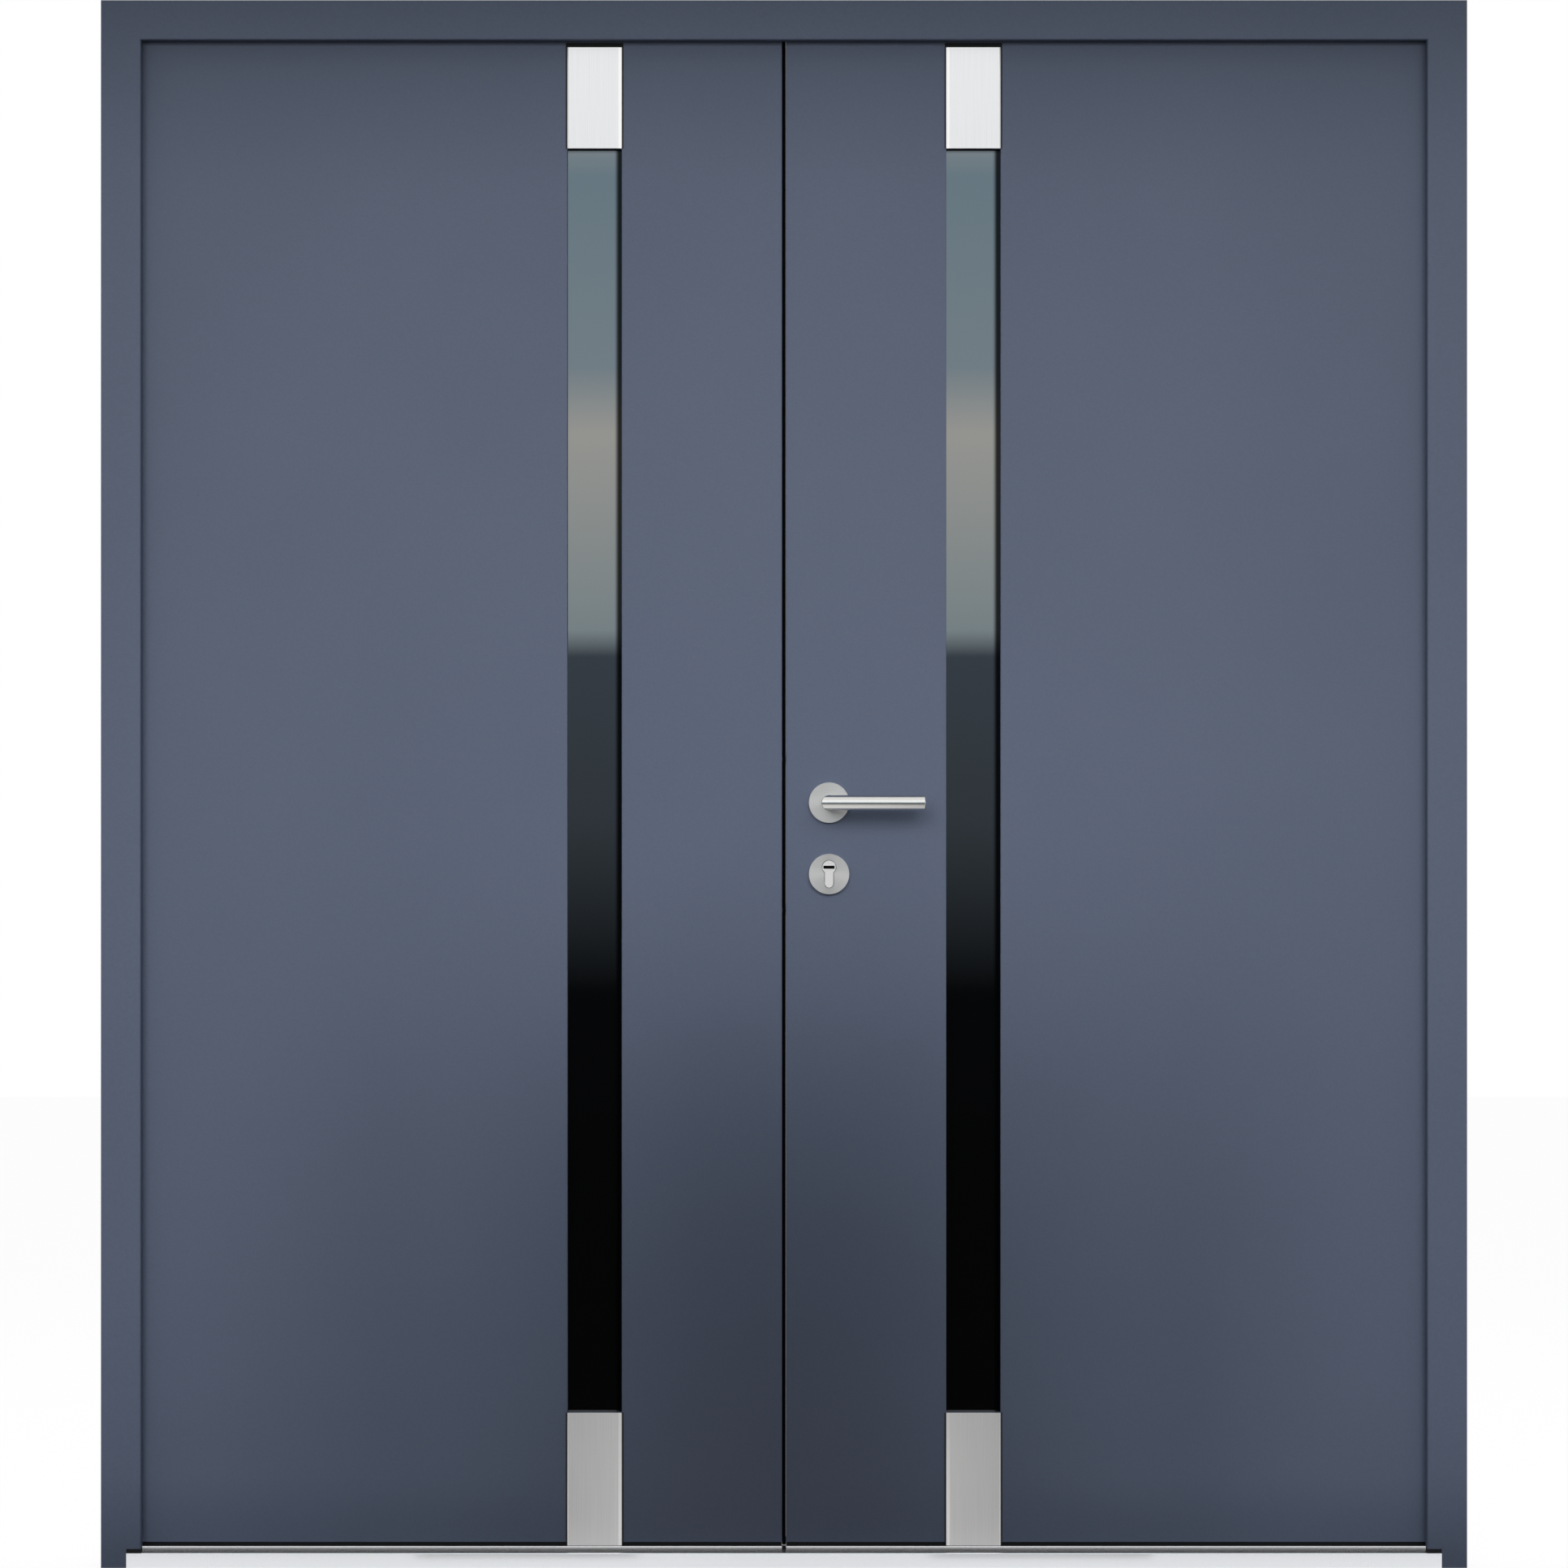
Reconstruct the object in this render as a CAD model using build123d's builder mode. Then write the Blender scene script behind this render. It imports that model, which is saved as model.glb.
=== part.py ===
"""Steel entrance double door: two glazed leaves that open inward in a rebated steel frame.

X runs to the right seen from outside, Y into the building, Z up. The origin is the middle of
the threshold's underside, at half the frame's depth. Millimetres.
"""
from build123d import *
import os

os.makedirs("parts", exist_ok=True)

# Frame
FRAME_WIDTH = 1830.0
FRAME_HEIGHT = 2100.0
FRAME_FACE = 53.5
FRAME_REBATE = 34.0
FRAME_WALL = 2.0
STOP_DEPTH = 15.0
STOP_ROUND = 2.5
OUTER_ROUND = 1.0
ANCHOR_HOLE = 11.0
ANCHOR_ACCESS = 15.0
ANCHOR_INSET = 30.0
ANCHOR_END = 300.0
ANCHOR_COUNT = 3

# Threshold, and the pads that close the cut feet of the stops
THRESHOLD_HEIGHT = 20.0
THRESHOLD_WALL = 2.5
THRESHOLD_ROUND = 1.5
THRESHOLD_CHAMBERS = 3
PAD_HEIGHT = 5.5

# Clearances
RUNNING_GAP = 5.0
MEETING_GAP = 5.0
SEAL_GAP = 0.3
MEETING_SEAL_GAP = 0.8
TURNING_GAP = 0.3
PROFILE_GAP = 0.7
KNUCKLE_GAP = 0.5
KNUCKLE_FACE_GAP = 1.0
HINGE_SIDE_GAP = 2.0
NECK_GAP = 1.0
SPINDLE_GAP = 1.3

# Leaves
LEAF_THICKNESS = 55.0
LEAF_LIFT = 11.0
SKIN = 1.5
EDGE_BAND = 5.0
FOLD_RADIUS = 2.0

# Glass strip with its stainless plates
STRIP_WIDTH = 73.0
STRIP_OFFSET = 254.5
FLANGE_DEPTH = 9.0
FLANGE_ROUND = 1.0
PANE = 4.0
PANE_LAP = 8.0
SPACER_WIDTH = 7.0
PLATE = 2.0
TOP_PLATE_LENGTH = 135.7
BOTTOM_PLATE_LENGTH = 178.4
PLATE_DROP = 4.0
PLATE_TOP_GAP = 7.0
WIDE_BEVEL = 4.5
NARROW_BEVEL = 1.5
BEVEL_DEPTH = 1.2
BED = 0.8
BED_MARGIN = 2.0
BED_TOP_GAP = 1.0

# Seals
GASKET_WIDTH = 9.0
GASKET_SETBACK = 3.0
SWEEP_HEIGHT = 6.0
SWEEP_BASE = 3.0
SWEEP_LIP = 5.0
SWEEP_SETBACK = 5.0
SWEEP_INSET = 0.5
MEETING_SEAL_DEPTH = 8.0
MEETING_SEAL_SETBACK = 5.0

# Hinges
HINGE_INSET = 219.0
HINGE_HEIGHT = 120.0
KNUCKLE_RADIUS = 9.0
PIN_RADIUS = 4.0
PIN_REACH = 45.0
HINGE_PLATE = 3.0
FRAME_PLATE_WIDTH = 21.0
LEAF_PLATE_WIDTH = 32.0

# Lever, cylinder and their roses
LOCK_OFFSET = 60.5
LEVER_HEIGHT = 1025.0
CYLINDER_DROP = 86.7
ROSE_RADIUS = 27.0
ROSE_HEIGHT = 8.0
LEVER_RADIUS = 10.0
LEVER_STANDOFF = 52.0
LEVER_LENGTH = 128.0
LEVER_TIP_CHAMFER = 1.0
SPINDLE = 8.0
SPINDLE_REACH = 30.0
PLUG_RADIUS = 9.0
TAIL_WIDTH = 11.4
CYLINDER_TALL = 36.4
CYLINDER_PROUD = 1.0
KEY_SLOT_LENGTH = 15.0
KEY_SLOT_HEIGHT = 4.2
KEY_SLOT_DEPTH = 12.0

# Lock furniture let into the meeting edges
FACEPLATE = 3.0
FACEPLATE_WIDTH = 22.0
FACEPLATE_MARGIN = 70.0
LATCH_WIDTH = 12.0
LATCH_HEIGHT = 22.0
BOLT_HEIGHT = 34.0
BOLT_DROP = 8.0
KEEPER_DEPTH = 14.0
KEEPER_GAP = 1.5

LEFT = -1
RIGHT = 1
OUTWARD = -1
INWARD = 1

# Derived places: "across" is a distance from the door's centre line, "deep" runs along Y
HALF_WIDTH = FRAME_WIDTH / 2
FRAME_DEPTH = STOP_DEPTH + RUNNING_GAP + LEAF_THICKNESS
FRONT = -FRAME_DEPTH / 2
BACK = FRAME_DEPTH / 2
STOP_BACK = FRONT + STOP_DEPTH
STOP_ACROSS = HALF_WIDTH - FRAME_FACE
REBATE_ACROSS = HALF_WIDTH - FRAME_REBATE
FOOT_TOP = THRESHOLD_HEIGHT + PAD_HEIGHT
ANCHOR_PITCH = (FRAME_HEIGHT - 2 * ANCHOR_END) / (ANCHOR_COUNT - 1)

LEAF_FRONT = STOP_BACK + RUNNING_GAP
LEAF_BACK = LEAF_FRONT + LEAF_THICKNESS
LEAF_MID = (LEAF_FRONT + LEAF_BACK) / 2
LEAF_NEAR = MEETING_GAP / 2
LEAF_FAR = REBATE_ACROSS - RUNNING_GAP
LEAF_BOTTOM = THRESHOLD_HEIGHT + LEAF_LIFT
LEAF_TOP = FRAME_HEIGHT - FRAME_REBATE - RUNNING_GAP
SKIN_RETURN = (LEAF_THICKNESS - EDGE_BAND) / 2

STRIP_NEAR = STRIP_OFFSET - STRIP_WIDTH / 2
STRIP_FAR = STRIP_OFFSET + STRIP_WIDTH / 2
PANE_FRONT = LEAF_FRONT + FLANGE_DEPTH
PANE_BACK = LEAF_BACK - FLANGE_DEPTH
STOP_LOW = FRAME_HEIGHT - FRAME_FACE
PLATE_TOP = STOP_LOW - PLATE_TOP_GAP
PLATE_BOTTOM = LEAF_BOTTOM - PLATE_DROP
GLASS_TOP = PLATE_TOP - TOP_PLATE_LENGTH
GLASS_BOTTOM = PLATE_BOTTOM + BOTTOM_PLATE_LENGTH

HINGE_ACROSS = (REBATE_ACROSS + LEAF_FAR) / 2
HINGE_OFFSET = KNUCKLE_RADIUS + KNUCKLE_FACE_GAP
HINGE_DEEP = LEAF_BACK + HINGE_OFFSET
HINGE_HEIGHTS = (
    LEAF_BOTTOM + HINGE_INSET,
    (LEAF_BOTTOM + LEAF_TOP) / 2,
    LEAF_TOP - HINGE_INSET,
)
HINGE_PLATE_START = KNUCKLE_RADIUS + HINGE_SIDE_GAP
HINGE_FOOT = (RUNNING_GAP + KNUCKLE_GAP * 2) / 2

SPINDLE_HOLE_RADIUS = SPINDLE / 2**0.5 + SPINDLE_GAP
PLUG_HEIGHT = LEVER_HEIGHT - CYLINDER_DROP
TAIL_LOW = PLUG_HEIGHT + PLUG_RADIUS - CYLINDER_TALL
TAIL_CENTRE = TAIL_LOW + TAIL_WIDTH / 2
CYLINDER_MIDDLE = TAIL_LOW + CYLINDER_TALL / 2
FACEPLATE_TOP = LEVER_HEIGHT + FACEPLATE_MARGIN
FACEPLATE_BOTTOM = PLUG_HEIGHT - FACEPLATE_MARGIN
BOLT_MIDDLE = PLUG_HEIGHT - BOLT_DROP


def save(piece, name):
    """Label a finished sub-part and write it under its own name."""
    piece.part.label = name
    export_step(piece.part, f"parts/{name}.step")


def block(x_span, y_span, z_span, mode=Mode.ADD):
    """Rectangular block between two limits on each axis."""
    spans = (x_span, y_span, z_span)
    with Locations(tuple((low + high) / 2 for low, high in spans)):
        Box(*[abs(high - low) for low, high in spans], mode=mode)


def across(side, near, far):
    """X limits of what lies between two distances from the centre line."""
    return side * near, side * far


def strip_across(side, margin):
    """X limits of the glass strip on one leaf, widened by a margin on both sides."""
    return across(side, STRIP_NEAR - margin, STRIP_FAR + margin)


def strip_height(margin):
    """Z limits of the glass strip, lengthened by a margin at both ends."""
    return GLASS_BOTTOM - margin, GLASS_TOP + margin


# Frame: jambs and header of one hollow rebated section, mitred at the top corners
def frame_outline(inset):
    """Corners of the section, as (from the outer edge, from the front) pairs."""
    return [
        (inset, inset),
        (FRAME_FACE - inset, inset),
        (FRAME_FACE - inset, STOP_DEPTH - inset),
        (FRAME_REBATE - inset, STOP_DEPTH - inset),
        (FRAME_REBATE - inset, FRAME_DEPTH - inset),
        (inset, FRAME_DEPTH - inset),
    ]


def frame_section(plane, place):
    """Hollow section sketched on a plane, where place turns outline pairs into points."""
    with BuildSketch(plane) as section:
        Polygon(*[place(*corner) for corner in frame_outline(0)], align=None)
        fillet(section.vertices().sort_by_distance(place(FRAME_FACE, 0))[0], STOP_ROUND)
        fillet(section.vertices().sort_by_distance(place(0, 0))[0], OUTER_ROUND)
        Polygon(
            *[place(*corner) for corner in frame_outline(FRAME_WALL)],
            align=None,
            mode=Mode.SUBTRACT,
        )
    return section.sketch


def mitre_plane(side):
    """Plane of a top corner's mitre, facing the header."""
    corner = (side * HALF_WIDTH, 0, FRAME_HEIGHT)
    return Plane(origin=corner, x_dir=(0, 1, 0), z_dir=(-side, 0, 1))


def make_jamb(side, name):
    """Jamb with its stop cut short above the threshold, drilled for wall anchors."""
    with BuildPart() as jamb:
        section = frame_section(
            Plane.XY,
            lambda out, deep: (side * (HALF_WIDTH - out), FRONT + deep),
        )
        extrude(section, amount=FRAME_HEIGHT)
        split(bisect_by=mitre_plane(side), keep=Keep.BOTTOM)
        foot = (across(side, STOP_ACROSS, REBATE_ACROSS), (FRONT, STOP_BACK), (0, FOOT_TOP))
        block(*foot, mode=Mode.SUBTRACT)
        for anchor in range(ANCHOR_COUNT):
            height = ANCHOR_END + anchor * ANCHOR_PITCH
            for start, width in ((HALF_WIDTH, ANCHOR_HOLE), (REBATE_ACROSS, ANCHOR_ACCESS)):
                wall = Plane(origin=(side * start, BACK - ANCHOR_INSET, height), z_dir=(side, 0, 0))
                with Locations(wall):
                    Cylinder(width / 2, FRAME_REBATE, mode=Mode.SUBTRACT)
    save(jamb, name)


make_jamb(LEFT, "left_jamb")
make_jamb(RIGHT, "right_jamb")

with BuildPart() as header:
    header_section = frame_section(
        Plane.YZ.offset(-HALF_WIDTH),
        lambda out, deep: (FRONT + deep, FRAME_HEIGHT - out),
    )
    extrude(header_section, amount=FRAME_WIDTH)
    for side in (LEFT, RIGHT):
        split(bisect_by=mitre_plane(side), keep=Keep.TOP)
save(header, "header")

# Threshold: hollow extrusion between the jambs
with BuildPart() as threshold:
    with BuildSketch(Plane.YZ.offset(-REBATE_ACROSS)) as section:
        with Locations((0, THRESHOLD_HEIGHT / 2)):
            Rectangle(FRAME_DEPTH, THRESHOLD_HEIGHT)
        fillet(section.vertices().group_by(Axis.Y)[-1], THRESHOLD_ROUND)
        pitch = (FRAME_DEPTH - THRESHOLD_WALL) / THRESHOLD_CHAMBERS
        with Locations((0, THRESHOLD_HEIGHT / 2)):
            with GridLocations(pitch, THRESHOLD_HEIGHT, THRESHOLD_CHAMBERS, 1):
                Rectangle(
                    pitch - THRESHOLD_WALL,
                    THRESHOLD_HEIGHT - 2 * THRESHOLD_WALL,
                    mode=Mode.SUBTRACT,
                )
    extrude(amount=2 * REBATE_ACROSS)
save(threshold, "threshold")

# Pads under the cut feet of the stops
with BuildPart() as jamb_foot_pads:
    for side in (LEFT, RIGHT):
        block(
            across(side, STOP_ACROSS, REBATE_ACROSS),
            (FRONT, STOP_BACK),
            (THRESHOLD_HEIGHT, FOOT_TOP),
        )
save(jamb_foot_pads, "jamb_foot_pads")

# Gasket behind the stop: two uprights and a top strip
with BuildPart() as frame_gasket:
    gasket_near = STOP_ACROSS + GASKET_SETBACK
    gasket_low = STOP_LOW + GASKET_SETBACK
    gasket_deep = (STOP_BACK, LEAF_FRONT - SEAL_GAP)
    for side in (LEFT, RIGHT):
        block(
            across(side, gasket_near, gasket_near + GASKET_WIDTH),
            gasket_deep,
            (FOOT_TOP, gasket_low + GASKET_WIDTH),
        )
    block(
        (-gasket_near + SEAL_GAP, gasket_near - SEAL_GAP),
        gasket_deep,
        (gasket_low, gasket_low + GASKET_WIDTH),
    )
save(frame_gasket, "frame_gasket")


# Lock cut-outs in the right leaf
def cylinder_outline(round_gap, flat_gap):
    """Profile of the lock cylinder, widened by gaps at its rounds and at its flat sides."""
    with Locations((LOCK_OFFSET, PLUG_HEIGHT)):
        Circle(PLUG_RADIUS + round_gap)
    with Locations((LOCK_OFFSET, TAIL_CENTRE)):
        Circle(TAIL_WIDTH / 2 + round_gap)
    with Locations((LOCK_OFFSET, (PLUG_HEIGHT + TAIL_CENTRE) / 2)):
        Rectangle(TAIL_WIDTH + 2 * flat_gap, PLUG_HEIGHT - TAIL_CENTRE)


def cut_lock_holes(flat_gap):
    """Holes through the leaf for the lever's spindle and the cylinder."""
    with BuildSketch(Plane.XZ.offset(-LEAF_BACK)) as holes:
        with Locations((LOCK_OFFSET, LEVER_HEIGHT)):
            Circle(SPINDLE_HOLE_RADIUS)
        cylinder_outline(TURNING_GAP, flat_gap)
    extrude(holes.sketch, amount=LEAF_THICKNESS, mode=Mode.SUBTRACT)


def edge_plate_block(side, mode=Mode.ADD):
    """Plate let flush into a leaf's meeting edge at the lock."""
    block(
        across(side, LEAF_NEAR, LEAF_NEAR + FACEPLATE),
        (LEAF_MID - FACEPLATE_WIDTH / 2, LEAF_MID + FACEPLATE_WIDTH / 2),
        (FACEPLATE_BOTTOM, FACEPLATE_TOP),
        mode=mode,
    )


def bolt_blocks(side, gap, depth, mode=Mode.ADD):
    """Latch and dead bolt, or with a gap their openings, down to a depth from the edge."""
    for middle, height in ((LEVER_HEIGHT, LATCH_HEIGHT), (BOLT_MIDDLE, BOLT_HEIGHT)):
        block(
            across(side, LEAF_NEAR, LEAF_NEAR + depth),
            (LEAF_MID - LATCH_WIDTH / 2 - gap, LEAF_MID + LATCH_WIDTH / 2 + gap),
            (middle - height / 2 - gap, middle + height / 2 + gap),
            mode=mode,
        )


# Leaves: two folded steel skins over a core, glazed with two panes
def make_skin(side, face, inner, name):
    """Folded skin: face at a depth, returns and the glazing flange folded towards inner."""
    with BuildPart() as skin:
        block(
            across(side, LEAF_NEAR, LEAF_FAR),
            (face, face + inner * SKIN_RETURN),
            (LEAF_BOTTOM, LEAF_TOP),
        )
        fillet(skin.faces().sort_by(Axis.Y, reverse=inner < 0)[0].edges(), FOLD_RADIUS)
        block(
            across(side, LEAF_NEAR + SKIN, LEAF_FAR - SKIN),
            (face + inner * SKIN, face + inner * SKIN_RETURN),
            (LEAF_BOTTOM + SKIN, LEAF_TOP - SKIN),
            mode=Mode.SUBTRACT,
        )
        flange = (face, face + inner * FLANGE_DEPTH)
        block(strip_across(side, SKIN), (face + inner * SKIN, flange[1]), strip_height(SKIN))
        block(strip_across(side, 0), flange, strip_height(0), mode=Mode.SUBTRACT)
        front = skin.faces().filter_by(Axis.Y).sort_by(Axis.Y, reverse=inner < 0)[0]
        fillet(front.inner_wires()[0].edges(), FLANGE_ROUND)
        edge_plate_block(side, mode=Mode.SUBTRACT)
        if side == RIGHT:
            cut_lock_holes(TURNING_GAP)
    save(skin, name)


def make_core(side, name):
    """Core block inside the skins, stepped for the panes and recessed for the lock."""
    with BuildPart() as core:
        block(
            across(side, LEAF_NEAR + SKIN, LEAF_FAR - SKIN),
            (LEAF_FRONT + SKIN, LEAF_BACK - SKIN),
            (LEAF_BOTTOM + SKIN, LEAF_TOP - SKIN),
        )
        through = (LEAF_FRONT, LEAF_BACK)
        block(strip_across(side, SKIN), through, strip_height(SKIN), mode=Mode.SUBTRACT)
        seat = (PANE_FRONT, PANE_BACK)
        block(strip_across(side, PANE_LAP), seat, strip_height(PANE_LAP), mode=Mode.SUBTRACT)
        edge_plate_block(side, mode=Mode.SUBTRACT)
        if side == RIGHT:
            cut_lock_holes(0)
        else:
            bolt_blocks(side, KEEPER_GAP, KEEPER_DEPTH, mode=Mode.SUBTRACT)
    save(core, name)


def make_pane(side, face, inner, name):
    """Pane of glass that bears on the skin's flange from inside the leaf."""
    with BuildPart() as pane:
        block(strip_across(side, PANE_LAP), (face, face + inner * PANE), strip_height(PANE_LAP))
    save(pane, name)


def make_spacer(side, name):
    """Frame that holds the two panes apart."""
    with BuildPart() as spacer:
        between = (PANE_FRONT + PANE, PANE_BACK - PANE)
        block(strip_across(side, PANE_LAP), between, strip_height(PANE_LAP))
        clear = PANE_LAP - SPACER_WIDTH
        block(strip_across(side, clear), between, strip_height(clear), mode=Mode.SUBTRACT)
    save(spacer, name)


def plate_block(side, face, out, low, high):
    """Plate over its bed, bevelled widely towards the meeting edge and narrowly away from it."""
    base = face + out * BED
    shoulder = base + out * (PLATE - BEVEL_DEPTH)
    top = base + out * PLATE
    with BuildSketch(Plane.XY.offset(low)) as section:
        Polygon(
            (side * STRIP_NEAR, base),
            (side * STRIP_FAR, base),
            (side * STRIP_FAR, shoulder),
            (side * (STRIP_FAR - NARROW_BEVEL), top),
            (side * (STRIP_NEAR + WIDE_BEVEL), top),
            (side * STRIP_NEAR, shoulder),
            align=None,
        )
    extrude(section.sketch, amount=high - low)


def make_plates(side, prefix):
    """Stainless plates above and below the glass, outside and inside, and their dark beds."""
    with BuildPart() as top_plate:
        plate_block(side, LEAF_FRONT, OUTWARD, GLASS_TOP, PLATE_TOP)
    save(top_plate, f"{prefix}_top_plate")
    with BuildPart() as bottom_plate:
        plate_block(side, LEAF_FRONT, OUTWARD, PLATE_BOTTOM, GLASS_BOTTOM)
    save(bottom_plate, f"{prefix}_bottom_plate")
    with BuildPart() as inner_plates:
        plate_block(side, LEAF_BACK, INWARD, GLASS_TOP, PLATE_TOP)
        plate_block(side, LEAF_BACK, INWARD, PLATE_BOTTOM, GLASS_BOTTOM)
    save(inner_plates, f"{prefix}_inner_plates")
    with BuildPart() as beds:
        for face, out in ((LEAF_FRONT, OUTWARD), (LEAF_BACK, INWARD)):
            for limits in ((GLASS_TOP, STOP_LOW - BED_TOP_GAP), (LEAF_BOTTOM, GLASS_BOTTOM)):
                block(strip_across(side, BED_MARGIN), (face, face + out * BED), limits)
    save(beds, f"{prefix}_plate_beds")


def make_sweep(side, name):
    """Seal under a leaf: a base strip with a lip along each face."""
    with BuildPart() as sweep:
        length = across(side, LEAF_NEAR + SWEEP_INSET, LEAF_FAR - SWEEP_INSET)
        front = LEAF_FRONT + SWEEP_SETBACK
        back = LEAF_BACK - SWEEP_SETBACK
        base_low = LEAF_BOTTOM - SWEEP_BASE
        block(length, (front, back), (base_low, LEAF_BOTTOM))
        for lip in ((front, front + SWEEP_LIP), (back - SWEEP_LIP, back)):
            block(length, lip, (LEAF_BOTTOM - SWEEP_HEIGHT, base_low))
    save(sweep, name)


# Lift-off hinges on the inner faces: the leaf half drops over the pin of the frame half
def hinge_half(side, away, height, knuckle, plate_width):
    """Half of a hinge: away is 1 on the frame and -1 on the leaf, knuckle is its Z limits."""
    def place(out, deep):
        return side * (HINGE_ACROSS + away * out), HINGE_DEEP + deep

    plate_end = HINGE_PLATE_START + plate_width
    x_start, y_start = place(HINGE_PLATE_START, -HINGE_OFFSET)
    x_end, y_end = place(plate_end, -HINGE_OFFSET + HINGE_PLATE)
    half_height = HINGE_HEIGHT / 2
    block((x_start, x_end), (y_start, y_end), (height - half_height, height + half_height))
    low, high = knuckle
    with BuildSketch(Plane.XY.offset(low)) as section:
        Polygon(
            place(HINGE_FOOT, -HINGE_OFFSET),
            place(HINGE_PLATE_START, -HINGE_OFFSET),
            place(HINGE_PLATE_START, -HINGE_OFFSET + HINGE_PLATE),
            place(KNUCKLE_RADIUS, 0),
            place(0, 0),
            align=None,
        )
        with Locations(place(0, 0)):
            Circle(KNUCKLE_RADIUS)
    extrude(section.sketch, amount=high - low)


def hinge_rod(side, low, high, radius, mode=Mode.ADD):
    """Upright rod on a leaf's hinge axis."""
    with BuildSketch(Plane.XY.offset(low)) as section:
        with Locations((side * HINGE_ACROSS, HINGE_DEEP)):
            Circle(radius)
    extrude(section.sketch, amount=high - low, mode=mode)


def make_hinges(side, prefix):
    """Three hinges of one leaf."""
    half = HINGE_HEIGHT / 2
    half_gap = KNUCKLE_GAP / 2
    with BuildPart() as frame_halves:
        for z in HINGE_HEIGHTS:
            hinge_half(side, 1, z, (z - half, z - half_gap), FRAME_PLATE_WIDTH)
            hinge_rod(side, z - half_gap, z + PIN_REACH, PIN_RADIUS)
    save(frame_halves, f"{prefix}_frame_hinges")
    with BuildPart() as leaf_halves:
        for z in HINGE_HEIGHTS:
            hinge_half(side, -1, z, (z + half_gap, z + half), LEAF_PLATE_WIDTH)
            bore_top = z + PIN_REACH + TURNING_GAP
            hinge_rod(side, z + half_gap, bore_top, PIN_RADIUS + TURNING_GAP, mode=Mode.SUBTRACT)
    save(leaf_halves, f"{prefix}_leaf_hinges")


for side, prefix in ((LEFT, "left"), (RIGHT, "right")):
    make_skin(side, LEAF_FRONT, INWARD, f"{prefix}_outer_skin")
    make_skin(side, LEAF_BACK, OUTWARD, f"{prefix}_inner_skin")
    make_core(side, f"{prefix}_core")
    make_pane(side, PANE_FRONT, INWARD, f"{prefix}_outer_glass")
    make_pane(side, PANE_BACK, OUTWARD, f"{prefix}_inner_glass")
    make_spacer(side, f"{prefix}_glass_spacer")
    make_plates(side, prefix)
    make_sweep(side, f"{prefix}_bottom_seal")
    make_hinges(side, prefix)

# Seal on the left leaf's meeting edge
with BuildPart() as left_meeting_seal:
    seal_back = LEAF_BACK - MEETING_SEAL_SETBACK
    block(
        (-LEAF_NEAR, LEAF_NEAR - MEETING_SEAL_GAP),
        (seal_back - MEETING_SEAL_DEPTH, seal_back),
        (LEAF_BOTTOM + MEETING_SEAL_SETBACK, LEAF_TOP - MEETING_SEAL_SETBACK),
    )
save(left_meeting_seal, "left_meeting_seal")

# Lock faceplate and its bolts on the right leaf, strike plate on the left one
with BuildPart() as lock_faceplate:
    edge_plate_block(RIGHT)
    bolt_blocks(RIGHT, TURNING_GAP, FACEPLATE, mode=Mode.SUBTRACT)
save(lock_faceplate, "lock_faceplate")

with BuildPart() as lock_bolts:
    bolt_blocks(RIGHT, 0, FACEPLATE)
save(lock_bolts, "lock_bolts")

with BuildPart() as strike_plate:
    edge_plate_block(LEFT)
    bolt_blocks(LEFT, KEEPER_GAP, FACEPLATE, mode=Mode.SUBTRACT)
save(strike_plate, "strike_plate")


# Roses, levers and cylinder, alike on both faces of the right leaf
def lock_plane(face, out, height):
    """Plane on a leaf face at the lock's line, facing out of the leaf, its X along the door."""
    return Plane(origin=(LOCK_OFFSET, face, height), x_dir=(1, 0, 0), z_dir=(0, out, 0))


def make_lever_rose(face, out, name):
    """Round rose with a bearing hole for the lever's neck."""
    with BuildPart() as rose:
        with BuildSketch(lock_plane(face, out, LEVER_HEIGHT)):
            Circle(ROSE_RADIUS)
            Circle(LEVER_RADIUS + TURNING_GAP, mode=Mode.SUBTRACT)
        extrude(amount=ROSE_HEIGHT)
    save(rose, name)


def make_cylinder_rose(face, out, name):
    """Round rose with an opening of the cylinder's profile."""
    with BuildPart() as rose:
        with BuildSketch(lock_plane(face, out, CYLINDER_MIDDLE)):
            Circle(ROSE_RADIUS)
        extrude(amount=ROSE_HEIGHT)
        with BuildSketch(Plane.XZ.offset(-face)):
            cylinder_outline(PROFILE_GAP, PROFILE_GAP)
        extrude(amount=-out * ROSE_HEIGHT, mode=Mode.SUBTRACT)
    save(rose, name)


def make_lever(face, out, name):
    """Round bar mitred onto its neck, with a square socket for the spindle."""
    bar_deep = face + out * LEVER_STANDOFF
    with BuildPart() as lever:
        with BuildLine() as path:
            Polyline(
                (LOCK_OFFSET, face + out * NECK_GAP, LEVER_HEIGHT),
                (LOCK_OFFSET, bar_deep, LEVER_HEIGHT),
                (LOCK_OFFSET + LEVER_LENGTH, bar_deep, LEVER_HEIGHT),
            )
        with BuildSketch(lock_plane(face + out * NECK_GAP, out, LEVER_HEIGHT)):
            Circle(LEVER_RADIUS)
        sweep(path=path.line, transition=Transition.RIGHT)
        chamfer(lever.faces().sort_by(Axis.X)[-1].edges(), LEVER_TIP_CHAMFER)
        with BuildSketch(lock_plane(face, out, LEVER_HEIGHT)):
            Rectangle(SPINDLE, SPINDLE)
        extrude(amount=SPINDLE_REACH, mode=Mode.SUBTRACT)
    save(lever, name)


for face, out, where in ((LEAF_FRONT, OUTWARD, "outer"), (LEAF_BACK, INWARD, "inner")):
    make_lever_rose(face, out, f"{where}_lever_rose")
    make_cylinder_rose(face, out, f"{where}_cylinder_rose")
    make_lever(face, out, f"{where}_lever")

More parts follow.
